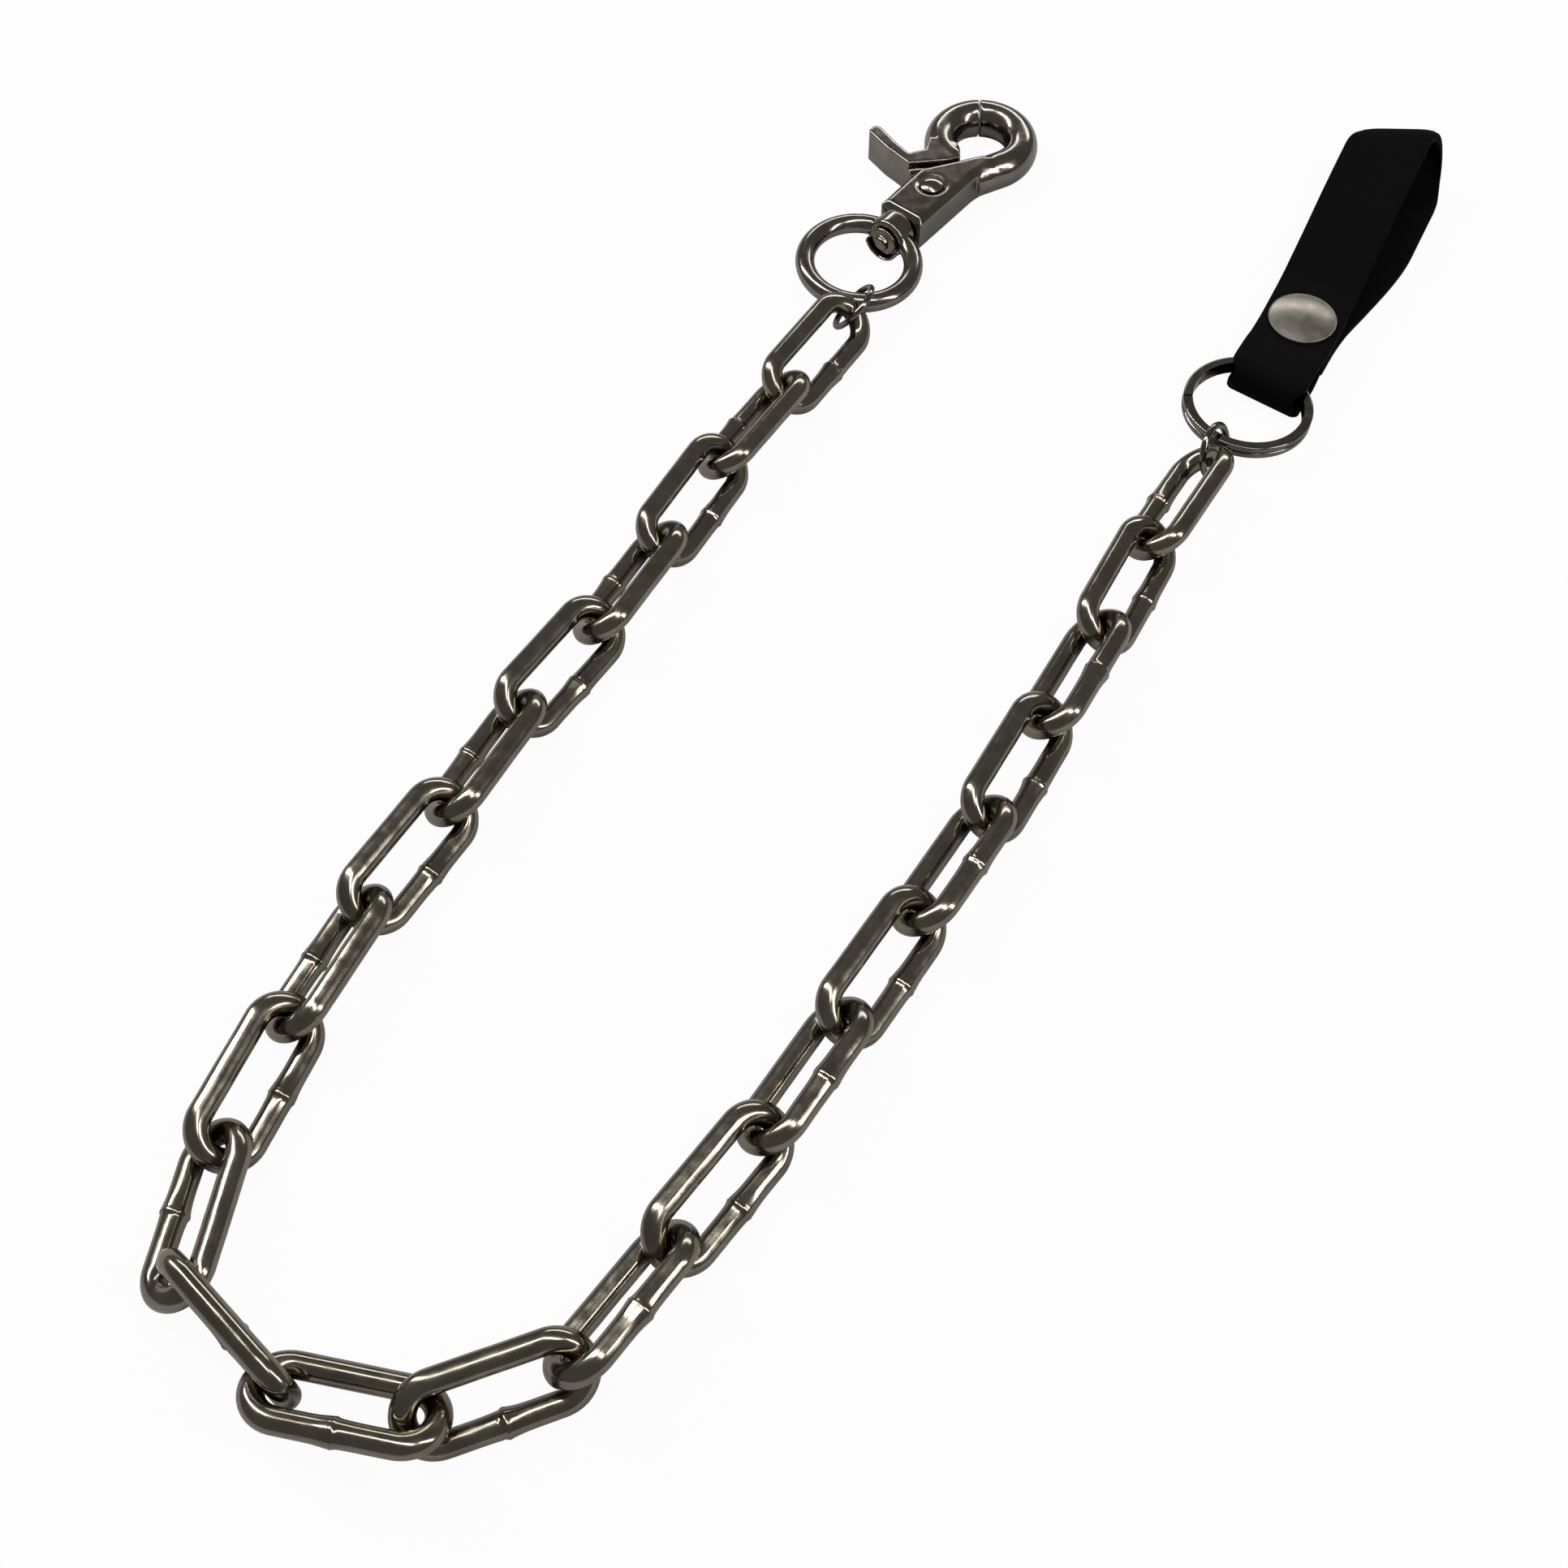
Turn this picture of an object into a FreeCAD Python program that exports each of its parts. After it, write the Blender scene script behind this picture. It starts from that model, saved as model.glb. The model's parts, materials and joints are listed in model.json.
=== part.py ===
import FreeCAD, Part
import math
import os

# Wallet chain, laid on a flat surface: a trigger snap hook, a swivel eye, a
# jump ring, a chain of long welded links, a second jump ring, a split ring and
# a leather belt loop with a snap. Millimetres, +Z up, the surface at Z = 0.

# ---------------------------------------------------------------- chain
LINK_WIRE = 4.5  # diameter of the link wire
LINK_INSIDE_LENGTH = 25.5
LINK_INSIDE_WIDTH = 6.5
LINK_PLAY = 0.3  # gap left between two hooked links
WELD_PROUD = 0.25  # how far the weld bead stands off the wire
WELD_WIDTH = 1.6
WELD_ROUND = 0.2

# Lay of the chain from the hook to the belt loop: each link's heading and roll
# in degrees. A positive roll lifts the rail on the left.
LINK_LAY = (
    (-123, -40),
    (-123, 40),
    (-119, -40),
    (-119.5, 40),
    (-124, -40),
    (-118.5, 40),
    (-121.5, -40),
    (-115.5, 40),
    (-111.5, -39),
    (-98, 32),
    (-44.5, 90.5),
    (-10.5, -24),
    (20, 42),
    (53, -44.5),
    (52.5, 40),
    (56.5, -40),
    (56.5, 40),
    (57, -40),
    (60, 40),
    (60, -40),
    (61.5, 40),
    (57.5, -40),
)
# Links of the bend that also pitch, or ride up on a neighbour (link: value).
LINK_PITCH = {10: 2.3, 11: -1, 12: -3.3, 13: -1, 14: -2.8}
LINK_LIFT = {12: 2.8}
# Links that are not pulled tight against the one before (link: extra gap).
LINK_EXTRA_PLAY = {2: 0.3, 3: 0.7, 4: 0.4, 5: 0.6, 6: 0.2, 10: 0.4, 11: 0.6, 12: 0.6, 13: 0.9}
# Links with the weld bead on the left rail; the others have it on the right.
WELD_LEFT = (1, 3, 5, 7, 9, 22)

# ---------------------------------------------------------------- hook
HOOK_HEADING = 50.5
HOOK_THICK = 9.2  # body plate
BODY_WIDTH = 11.6
BODY_REAR = 11.8  # rivet axis back to the rear face
BODY_BEVEL = 1.2
THROAT_X = 22.6  # centre of the throat from the rivet axis
THROAT_Y = 2.2
THROAT_MEAN_R = 9.6
ARM_WIDTH = 7.8  # section of the hook's arm in plan
ARM_THICK = 9.0
RUN_ANGLE = -114  # the arm leaves the body here, round the throat
RUN_LENGTH = 8.0  # straight part of the arm, buried in the body
NOSE_ANGLE = 39.5  # where the trigger's jaw closes on the arm's nose
GATE_ANGLE = 196.5  # the jaw's other end
NOSE_GAP = 0.15
JAW_GAP = 0.4  # between the body and the trigger
TAB_HEIGHT = 8.6
BLADE_THICK = 3.2
BLADE_RADIUS = 3.2
BLADE_OVERLAP = 4.2  # how far the blade reaches into the body
BLADE_SIDE_GAP = 0.2
BLADE_RAISED = 0.6  # the blade lies above mid thickness, over the spring
RIVET_D = 3.0
RIVET_HEAD_D = 5.6
RIVET_HEAD_HEIGHT = 0.9
RIVET_RUNNING_GAP = 0.1
SPRING_WIRE = 0.6
SPRING_TURNS = 3
SPRING_SQUEEZE = 0.9  # pitch of the turns over the wire's diameter
SPRING_LEG = 3.0
SPRING_CLEAR = 0.1  # under the spring
SPRING_ROOM = 0.3  # in the slot, over the height of the turns
STEM_D = 4.0
STEM_RUNNING_GAP = 0.15
STEM_HEAD_D = 6.8
STEM_HEAD_THICK = 0.9
STEM_HEAD_ROUND = 0.3
STEM_ROOT = 1.0  # how far the stem runs into the body
NUB_D = 3.4
NUB_LENGTH = 1.3
NUB_ROUND = 0.6

# ---------------------------------------------------------------- swivel eye
EYE_WIRE = 4.4
EYE_MEAN_R = 12.4
EYE_TILT = -3  # the eye is turned this far about the stem
EYE_BOSS_D = 9.6
EYE_BOSS_LENGTH = 5.2
EYE_BOSS_ROUND = 0.8
EYE_HEAD_ROOM = 0.6  # round the stem's head
EYE_END_GAP = 0.2  # play along the stem
EYE_LINK_BEARING = -96  # where the first jump ring hangs on the eye
EYE_LINK_GAP = 0.05  # in plan, from the eye to the first link, which rides higher
EYE_LIP_LENGTH = 2.0  # half sleeve under the stem's head
EYE_LIP_TOP = -1.0
EYE_LIP_SETBACK = 0.2  # the sleeve is this much smaller than the boss all round

# ---------------------------------------------------------------- small rings
HOOK_RING_WIRE = 1.4
STRAP_RING_WIRE = 1.5
HOOK_RING_PLAY = 0.75  # left inside the ring round the two wires it joins
STRAP_RING_PLAY = 1.4
HOOK_RING_SHIFT = -0.05  # the ring's centre, off the middle of the two wires
STRAP_RING_SHIFT = -0.15
HOOK_RING_SHARE = 0.88  # how far the ring squares itself to the link's wire
STRAP_RING_SHARE = 0.5
RING_SLIT = 0.25
RING_SLIT_ANGLE = 205
STRAP_LINK_GAP = 1.4  # from the last link's wire to the split ring

SPLIT_RING_D = 28.0
SPLIT_COIL_WIDTH = 2.0  # radial
SPLIT_COIL_THICK = 1.4  # one coil, along the ring's axis
SPLIT_COIL_GAP = 0.2
SPLIT_COIL_ROUND = 0.4
SPLIT_STEP_ANGLE = 100  # where one coil steps over to the other
SPLIT_STEP_WIDTH = 3.0
SPLIT_END_ANGLE = 16  # from the step to the cut end of each coil
SPLIT_END_CUT = 0.4
SPLIT_TILT = 2.5
SPLIT_BEARING = 56.5  # from the last link to the ring's centre

# ---------------------------------------------------------------- belt loop
LEATHER = 2.1
STRAP_HEADING = 62.5
STRAP_WIDTH = 17.4
STRAP_SIDE_SHIFT = -1.4  # the strap lies off the ring's centre line
FOLD_CLEAR = 0.9  # leather to ring, above and below the coil
FOLD_TOUCH = 1.0  # leather to ring, at the bottom of the fold
SNAP_PAST_RING = 12.7  # from the split ring's outside to the snap's centre
SNAP_SIDE = -0.8  # the snap sits off the strap's middle
CROWN_PAST_SNAP = 59.3  # from the snap to the centre of the crown
CROWN_RADIUS = 9.0  # outer radius
TONGUE_PAST_SNAP = 6.5
RAMP_CLEAR = 1.9  # from the coil to where the flap starts to rise
SNAP_CAP_D = 15.0
SNAP_CAP_HEIGHT = 1.7
PLY_GAP = 0.1  # between two layers riveted together
SOCKET_D = 11.0
STUD_HEAD_D = 5.4
SNAP_CLEAR = 0.2
SOCKET_FLANGE = 0.6
STUD_COLLAR = 0.3
POST_D = 3.0
POST_FLANGE_D = 10.0
POST_FLANGE = 0.8
RIVET_HOLE_CLEAR = 0.1
FLOOR_GAP = 0.1
SNAP_RIM = 0.5  # height of the cap's edge
SOCKET_WALL = 0.8
SOCKET_ROOF = 0.5
STUD_HEAD_HEIGHT = 1.2
STUD_NECK = 0.5  # the neck is this much thinner than the head all round
STUD_DEPTH = 0.8  # how far the post goes into the stud
EDGE_ROUND = 0.4  # stud head
FLANGE_ROUND = 0.3


# ---------------------------------------------------------------- helpers
def vec(x, y, z=0.0):
    return FreeCAD.Vector(x, y, z)


def direction(degrees, z=0.0):
    a = math.radians(degrees)
    return vec(math.cos(a), math.sin(a), z)


def unit(v):
    return v * (1.0 / v.Length)


def frame_placement(origin, x_axis, y_axis):
    """Placement that takes +X and +Y onto two perpendicular unit vectors."""
    z_axis = x_axis.cross(y_axis)
    rotation = FreeCAD.Rotation(x_axis, y_axis, z_axis, "XYZ")
    return FreeCAD.Placement(origin, rotation)


def placed(shape, placement):
    moved = shape.copy()
    moved.Placement = placement.multiply(moved.Placement)
    return moved


def outline_face(points):
    return Part.Face(Part.makePolygon(list(points) + [points[0]]))


def plate(points, bottom, top):
    flat = outline_face([vec(x, y, bottom) for x, y in points])
    return flat.extrude(vec(0, 0, top - bottom))


def disc(radius, bottom, top, x=0.0, y=0.0):
    return Part.makeCylinder(radius, top - bottom, vec(x, y, bottom), vec(0, 0, 1))


def dome(diameter, height, base):
    """Spherical cap standing on the plane Z = base."""
    r = diameter / 2
    ball_r = (r**2 + height**2) / (2 * height)
    ball = Part.makeSphere(ball_r, vec(0, 0, base + height - ball_r))
    return ball.common(disc(r, base, base + height))


def slitted_ring(mean_r, wire, slit, slit_angle):
    """Round-wire ring in the XY plane, cut through at slit_angle."""
    half = math.degrees(slit / mean_r) / 2
    section = Part.Face(Part.Wire(Part.makeCircle(wire / 2, vec(mean_r, 0), vec(0, 1, 0))))
    ring = section.revolve(vec(0, 0), vec(0, 0, 1), 360 - 2 * half)
    ring.rotate(vec(0, 0), vec(0, 0, 1), slit_angle + half)
    return ring


# ---------------------------------------------------------------- links
LINK_BOW_R = (LINK_INSIDE_WIDTH + LINK_WIRE) / 2
LINK_HALF = (LINK_INSIDE_LENGTH + LINK_WIRE) / 2


def link_solid(weld_side):
    """One link in its own frame: +X along it, +Y to its left rail."""
    straight = LINK_HALF - LINK_BOW_R
    r = LINK_WIRE / 2
    pieces = []
    for side in (1, -1):
        start = vec(-straight, side * LINK_BOW_R)
        pieces.append(Part.makeCylinder(r, 2 * straight, start, vec(1, 0, 0)))
        ring = Part.makeTorus(LINK_BOW_R, r, vec(side * straight, 0), vec(0, 0, 1))
        reach = LINK_BOW_R + LINK_WIRE
        half_box = Part.makeBox(reach, 2 * reach, 2 * reach, vec(0, -reach, -reach))
        if side < 0:
            half_box.translate(vec(-reach, 0))
        half_box.translate(vec(side * straight, 0))
        pieces.append(ring.common(half_box))
    link = pieces[0].fuse(pieces[1:]).removeSplitter()
    start = vec(-WELD_WIDTH / 2, weld_side * LINK_BOW_R)
    weld = Part.makeCylinder(r + WELD_PROUD, WELD_WIDTH, start, vec(1, 0, 0))
    weld = weld.makeFillet(WELD_ROUND, weld.Edges)
    return link.fuse(weld)


class Lie:
    """Where one link lies: centre, direction, left rail and normal."""

    def __init__(self, number):
        heading, roll = LINK_LAY[number - 1]
        pitch = math.radians(LINK_PITCH.get(number, 0))
        flat = direction(heading)
        left = direction(heading + 90)
        self.along = flat * math.cos(pitch) + vec(0, 0, math.sin(pitch))
        above = self.along.cross(left)
        turn = math.radians(roll)
        self.left = left * math.cos(turn) + above * math.sin(turn)
        self.normal = above * math.cos(turn) - left * math.sin(turn)
        drop = (LINK_HALF - LINK_BOW_R) * abs(self.along.z)
        drop += LINK_BOW_R * math.hypot(self.along.z, self.left.z)
        self.height = LINK_WIRE / 2 + drop + LINK_LIFT.get(number, 0)
        self.centre = None

    def bow(self, end, towards):
        """Centre of the wire where a bow meets its neighbour."""
        flat = towards - self.normal * towards.dot(self.normal)
        return self.along * (end * (LINK_HALF - LINK_BOW_R)) + unit(flat) * (end * LINK_BOW_R)

    def placement(self):
        return frame_placement(self.centre, self.along, self.left)


def lay_chain(first_contact):
    """Lie of every link, each hooked in the one before it."""
    lies = []
    for number in range(1, len(LINK_LAY) + 1):
        lie = Lie(number)
        if not lies:
            start = lie.bow(-1, lie.along)
            spot = first_contact - start
            lie.centre = vec(spot.x, spot.y, lie.height)
            lies.append(lie)
            continue
        before = lies[-1]
        towards = unit(before.along + lie.along)
        inner = before.centre + before.bow(1, towards)
        own = lie.bow(-1, towards)
        reach = LINK_WIRE + LINK_PLAY + LINK_EXTRA_PLAY.get(number, 0)
        step_z = lie.height + own.z - inner.z
        step = math.sqrt(reach * reach - step_z * step_z)
        flat = unit(vec(towards.x, towards.y))
        spot = inner - flat * step - own
        lie.centre = vec(spot.x, spot.y, lie.height)
        lies.append(lie)
    return lies


# ---------------------------------------------------------------- hook pieces
# The hook's own frame: origin on the rivet axis at mid thickness, +X forward,
# +Y to the trigger's side.
MID = HOOK_THICK / 2
THROAT = vec(THROAT_X, THROAT_Y)
HALF_BODY = BODY_WIDTH / 2
SLOT_TOP = BLADE_THICK / 2 + BLADE_RAISED + BLADE_SIDE_GAP
SPRING_SPACE = SPRING_WIRE * SPRING_TURNS + SPRING_ROOM
SLOT_BOTTOM = SLOT_TOP - BLADE_THICK - 2 * BLADE_SIDE_GAP - SPRING_SPACE
# The face where the trigger meets the body runs from JAW_BACK to JAW_FRONT.
JAW_BACK = vec(3.0, 6.1)
JAW_FRONT = vec(11.3, 0.7)
NOSE_GAP_ANGLE = math.degrees(NOSE_GAP / THROAT_MEAN_R)


def arm_section(angle):
    """Upright elliptical section of the arm at an angle round the throat."""
    radial = direction(angle)
    centre = THROAT + radial * THROAT_MEAN_R
    long_half = ARM_THICK / 2
    ellipse = Part.Ellipse(
        centre + vec(0, 0, long_half), centre + radial * (ARM_WIDTH / 2), centre
    )
    return Part.Face(Part.Wire(ellipse.toShape()))


def arm_arc(start_angle, sweep):
    return arm_section(start_angle).revolve(THROAT, vec(0, 0, 1), sweep)


def jaw_side(offset):
    """Everything on the trigger's side of the jaw line, moved by offset."""
    along = unit(JAW_FRONT - JAW_BACK)
    across = vec(-along.y, along.x)
    reach = 60
    base = JAW_BACK + across * offset
    corners = [
        base - along * reach,
        base + along * reach,
        base + along * reach + across * reach,
        base - along * reach + across * reach,
    ]
    return plate([(p.x, p.y) for p in corners], -reach, reach)


def hook_body():
    arm = arm_arc(RUN_ANGLE, NOSE_ANGLE - NOSE_GAP_ANGLE - RUN_ANGLE)
    run = arm_section(RUN_ANGLE).extrude(direction(RUN_ANGLE - 90) * RUN_LENGTH)
    outline = [
        (-BODY_REAR, -HALF_BODY),
        (8.8, -HALF_BODY),
        (12.8, -6.3),
        (18.0, -7.2),
        (16.4, -2.5),
        (JAW_FRONT.x, JAW_FRONT.y),
        (JAW_BACK.x, JAW_BACK.y),
        (-BODY_REAR, HALF_BODY),
    ]
    block = plate(outline, -MID, MID)
    rims = [e for e in block.Edges if abs(abs(e.CenterOfMass.z) - MID) < 1e-6]
    block = block.makeChamfer(BODY_BEVEL, rims)
    body = block.fuse([run, arm])
    slot_back = -BLADE_RADIUS - 0.4
    slot_outline = [(-5.6, slot_back), (6.5, slot_back), (30, 12), (30, 30), (-5.6, 30)]
    slot = plate(slot_outline, SLOT_BOTTOM, SLOT_TOP)
    throat_guard = disc(THROAT_MEAN_R + ARM_WIDTH / 2, -MID, MID, THROAT.x, THROAT.y)
    slot = slot.cut(throat_guard.cut(jaw_side(-5.0)))
    body = body.cut(slot)
    body = body.cut(disc(RIVET_D / 2, -HOOK_THICK, HOOK_THICK))
    back = vec(-1, 0, 0)
    stem_length = EYE_END_GAP * 2 + EYE_BOSS_LENGTH
    root = vec(STEM_ROOT - BODY_REAR, 0)
    stem = Part.makeCylinder(STEM_D / 2, stem_length + STEM_ROOT, root, back)
    head_at = vec(-BODY_REAR - stem_length, 0)
    head = Part.makeCylinder(STEM_HEAD_D / 2, STEM_HEAD_THICK, head_at, back)
    head = head.makeFillet(STEM_HEAD_ROUND, head.Edges)
    nub_at = head_at + back * STEM_HEAD_THICK
    nub = Part.makeCylinder(NUB_D / 2, NUB_LENGTH, nub_at, back)
    tip = min(nub.Edges, key=lambda edge: edge.CenterOfMass.x)
    nub = nub.makeFillet(NUB_ROUND, [tip])
    return body.fuse([stem, head, nub]).removeSplitter()


def trigger():
    half = TAB_HEIGHT / 2
    tab_outline = [
        (2.6, 8.6),
        (5.3, 8.6),
        (5.7, 11.7),
        (6.7, 16.0),
        (8.6, 21.7),
        (7.9, 23.3),
        (5.7, 23.2),
        (3.7, 16.2),
    ]
    tab = plate(tab_outline, -half, half)
    uprights = [e for e in tab.Edges if abs(e.Vertexes[0].Z - e.Vertexes[-1].Z) > 1]
    tips = [e for e in uprights if e.CenterOfMass.y > 21.5]
    tab = tab.makeFillet(0.7, tips)
    neck_outline = [
        (2.6, 8.9),
        (JAW_FRONT.x - 0.2, JAW_FRONT.y),
        (13.1, -0.2),
        (15.9, 4.3),
        (13.3, 10.7),
        (9.2, 8.8),
        (6.0, 10.7),
        (3.0, 11.0),
    ]
    neck = plate(neck_outline, -half, half)
    first = NOSE_ANGLE + NOSE_GAP_ANGLE
    gate = arm_arc(first, GATE_ANGLE - first)
    taper = plate([(10.8, -0.6), (16.2, 5.0), (20.7, 1.8), (18.3, -6.0)], -MID, MID)
    jaw = neck.fuse(gate).cut(taper).common(jaw_side(JAW_GAP))
    jaw = jaw.fuse(tab)
    top = SLOT_TOP - BLADE_SIDE_GAP
    bottom = top - BLADE_THICK
    hub = disc(BLADE_RADIUS, bottom, top)
    blade_outline = [(-2.2, 3.4), (4.0, -1.0), (11.0, 2.4), (6.6, 9.4), (3.2, 9.4)]
    blade = plate(blade_outline, bottom, top).common(jaw_side(-BLADE_OVERLAP))
    whole = jaw.fuse([blade, hub])
    whole = whole.cut(disc(RIVET_D / 2 + RIVET_RUNNING_GAP, -HOOK_THICK, HOOK_THICK))
    return whole.removeSplitter()


def trigger_rivet():
    shank = disc(RIVET_D / 2, -MID, MID)
    top = dome(RIVET_HEAD_D, RIVET_HEAD_HEIGHT, MID)
    return shank.fuse(top)


def trigger_spring():
    """Torsion spring round the rivet, drawn as closed turns with two legs."""
    mean_r = RIVET_D / 2 + SPRING_WIRE
    bottom = SLOT_BOTTOM + SPRING_WIRE / 2 + SPRING_CLEAR
    heights = [bottom + turn * SPRING_WIRE * SPRING_SQUEEZE for turn in range(SPRING_TURNS)]
    sections = []
    for height in heights:
        circle = Part.makeCircle(SPRING_WIRE / 2, vec(mean_r, 0, height), vec(0, 1, 0))
        sections.append(Part.Face(Part.Wire(circle)))
    profile = sections[0].fuse(sections[1:]).removeSplitter()
    coil = profile.Faces[0].revolve(vec(0, 0), vec(0, 0, 1), 360)
    low = Part.makeCylinder(SPRING_WIRE / 2, SPRING_LEG, vec(0, -mean_r, heights[0]), vec(-1, 0, 0))
    high = Part.makeCylinder(SPRING_WIRE / 2, SPRING_LEG, vec(0, -mean_r, heights[-1]), vec(1, 0, 0))
    return coil.fuse([low, high])


def swivel_eye():
    """Eye in the hook's frame, with its boss round the stem."""
    front = -(BODY_REAR + EYE_END_GAP)
    rear = front - EYE_BOSS_LENGTH
    boss = Part.makeCylinder(EYE_BOSS_D / 2, EYE_BOSS_LENGTH, vec(rear, 0), vec(1, 0, 0))
    boss = boss.makeFillet(EYE_BOSS_ROUND, boss.Edges)
    head_r = STEM_HEAD_D / 2 + EYE_HEAD_ROOM
    centre = vec(eye_centre_x(), 0)
    ring = Part.makeTorus(EYE_MEAN_R, EYE_WIRE / 2, centre, vec(0, 0, 1))
    ring.rotate(centre, vec(1, 0, 0), -EYE_TILT)
    room = Part.makeCylinder(head_r, EYE_MEAN_R, vec(rear, 0), vec(-1, 0, 0))
    lip_start = vec(rear + EYE_BOSS_LENGTH / 2, 0)
    lip_length = EYE_LIP_LENGTH + EYE_BOSS_LENGTH / 2
    lip = Part.makeCylinder(EYE_BOSS_D / 2 - EYE_LIP_SETBACK, lip_length, lip_start, vec(-1, 0, 0))
    above = Part.makeBox(4 * EYE_MEAN_R, 4 * EYE_MEAN_R, 4 * EYE_MEAN_R)
    above.translate(vec(rear - 2 * EYE_MEAN_R, -2 * EYE_MEAN_R, EYE_LIP_TOP))
    lip = lip.cut(above)
    eye = boss.fuse([ring, lip]).cut(room)
    bore_r = STEM_D / 2 + STEM_RUNNING_GAP
    bore = Part.makeCylinder(bore_r, 2 * EYE_MEAN_R, vec(rear - EYE_MEAN_R, 0), vec(1, 0, 0))
    return eye.cut(bore)


def eye_centre_x():
    """The eye's wire runs through the middle of its boss."""
    return -(BODY_REAR + EYE_END_GAP + EYE_BOSS_LENGTH / 2 + EYE_MEAN_R)


# ---------------------------------------------------------------- rings
def jump_ring(wire, play, share, shift, link_wire, other):
    """Jump ring round a link's bow and a second wire.

    Each wire is given as the point where it crosses the ring, its direction
    there and its half thickness.
    """
    link_point, link_tangent, link_r = link_wire
    point, tangent, half = other
    apart = unit(link_point - point)
    inside_r = ((link_point - point).Length + link_r + half + play) / 2
    middle = (point - apart * half + link_point + apart * link_r) * 0.5 + apart * shift
    if tangent.dot(link_tangent) < 0:
        tangent = tangent * -1
    lean = tangent * (1 - share) + link_tangent * share
    normal = unit(lean - apart * lean.dot(apart))
    ring = slitted_ring(inside_r + wire / 2, wire, RING_SLIT, RING_SLIT_ANGLE)
    return placed(ring, frame_placement(middle, apart, normal.cross(apart)))


def split_ring():
    """Two coils of flat wire, joined by a short step; in its own frame."""
    outer = SPLIT_RING_D / 2
    inner = outer - SPLIT_COIL_WIDTH
    half_gap = SPLIT_COIL_GAP / 2
    coils = []
    for side in (1, -1):
        low = half_gap if side > 0 else -half_gap - SPLIT_COIL_THICK
        coil = disc(outer, low, low + SPLIT_COIL_THICK)
        coil = coil.makeFillet(SPLIT_COIL_ROUND, coil.Edges)
        coil = coil.cut(disc(inner, low - 1, low + SPLIT_COIL_THICK + 1))
        half_cut = SPLIT_END_CUT / 2
        reach = 2 * outer
        corners = [(0, -half_cut), (reach, -half_cut), (reach, half_cut), (0, half_cut)]
        end = plate(corners, low, low + SPLIT_COIL_THICK)
        end.rotate(vec(0, 0), vec(0, 0, 1), SPLIT_STEP_ANGLE + side * SPLIT_END_ANGLE)
        coils.append(coil.cut(end))
    half_step = SPLIT_STEP_WIDTH / 2
    root = outer - SPLIT_COIL_ROUND
    corners = [(inner, -half_step), (root, -half_step), (root, half_step), (inner, half_step)]
    step = plate(corners, -SPLIT_COIL_THICK / 2, SPLIT_COIL_THICK / 2)
    step.rotate(vec(0, 0), vec(0, 0, 1), SPLIT_STEP_ANGLE)
    return coils[0].fuse([coils[1], step])


# ---------------------------------------------------------------- leather
# The strap's own frame: origin under the split ring's centre on the surface,
# +X along the strap, +Y to its left, +Z up.
SPLIT_HALF_THICK = SPLIT_COIL_THICK + SPLIT_COIL_GAP / 2


def ribbon(path, thickness, width):
    """Strip of leather that follows a path in the XZ plane.

    The path is a list of (x, z, radius); the radius rounds that corner.
    """
    half = thickness / 2
    points = [vec(x, 0, z) for x, z, _ in path]
    sides = {1: [], -1: []}
    for side, edges in sides.items():
        entry = points[0]
        for i, corner in enumerate(points):
            if i in (0, len(points) - 1):
                continue
            before = unit(corner - points[i - 1])
            after = unit(points[i + 1] - corner)
            turn = before.getAngle(after)
            radius = path[i][2]
            cut = radius * math.tan(turn / 2)
            start = corner - before * cut
            end = corner + after * cut
            bend = unit(after - before)
            arc_centre = corner + bend * (radius / math.cos(turn / 2))
            normal_in = vec(-before.z, 0, before.x) * side
            normal_out = vec(-after.z, 0, after.x) * side
            if (start - entry).Length > 1e-6:
                edges.append(Part.makeLine(entry + normal_in * half, start + normal_in * half))
            inward = 1 if normal_in.dot(bend) > 0 else -1
            reach = radius - inward * half
            middle = arc_centre - bend * reach
            arc = Part.Arc(start + normal_in * half, middle, end + normal_out * half)
            edges.append(arc.toShape())
            entry = end
        last = unit(points[-1] - points[-2])
        normal = vec(-last.z, 0, last.x) * side
        edges.append(Part.makeLine(entry + normal * half, points[-1] + normal * half))
    first_ends = [sides[1][0].Vertexes[0].Point, sides[-1][0].Vertexes[0].Point]
    last_ends = [sides[1][-1].Vertexes[-1].Point, sides[-1][-1].Vertexes[-1].Point]
    caps = [Part.makeLine(*first_ends), Part.makeLine(*last_ends)]
    wire = Part.Wire(Part.__sortEdges__(sides[1] + sides[-1] + caps))
    strip = Part.Face(wire).extrude(vec(0, width, 0))
    strip.translate(vec(0, STRAP_SIDE_SHIFT - width / 2, 0))
    return strip


TONGUE_Z = FLOOR_GAP + POST_FLANGE + LEATHER / 2  # middle of the back layer at the snap
SNAP_GAP = SOCKET_FLANGE + STUD_COLLAR + SNAP_CLEAR
FLAP_Z = TONGUE_Z + LEATHER + SNAP_GAP
FRONT_Z = FLAP_Z + LEATHER + PLY_GAP
CROWN_Z = CROWN_RADIUS + FLOOR_GAP
CROWN_MID_R = CROWN_RADIUS - LEATHER / 2
COIL_REACH = SPLIT_RING_D / 2 - SPLIT_COIL_WIDTH
SNAP_DISTANCE = SPLIT_RING_D / 2 + SNAP_PAST_RING
CROWN_DISTANCE = SNAP_DISTANCE + CROWN_PAST_SNAP
SNAP_Y = STRAP_SIDE_SHIFT + SNAP_SIDE


def fold_inside_x():
    """Inside of the fold, where the coil touches the leather's two edges."""
    edge = STRAP_WIDTH / 2 + abs(STRAP_SIDE_SHIFT)
    return math.sqrt(COIL_REACH**2 - edge**2) - FOLD_TOUCH


def fold_height():
    return 2 * (SPLIT_HALF_THICK + FOLD_CLEAR) + LEATHER


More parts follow.
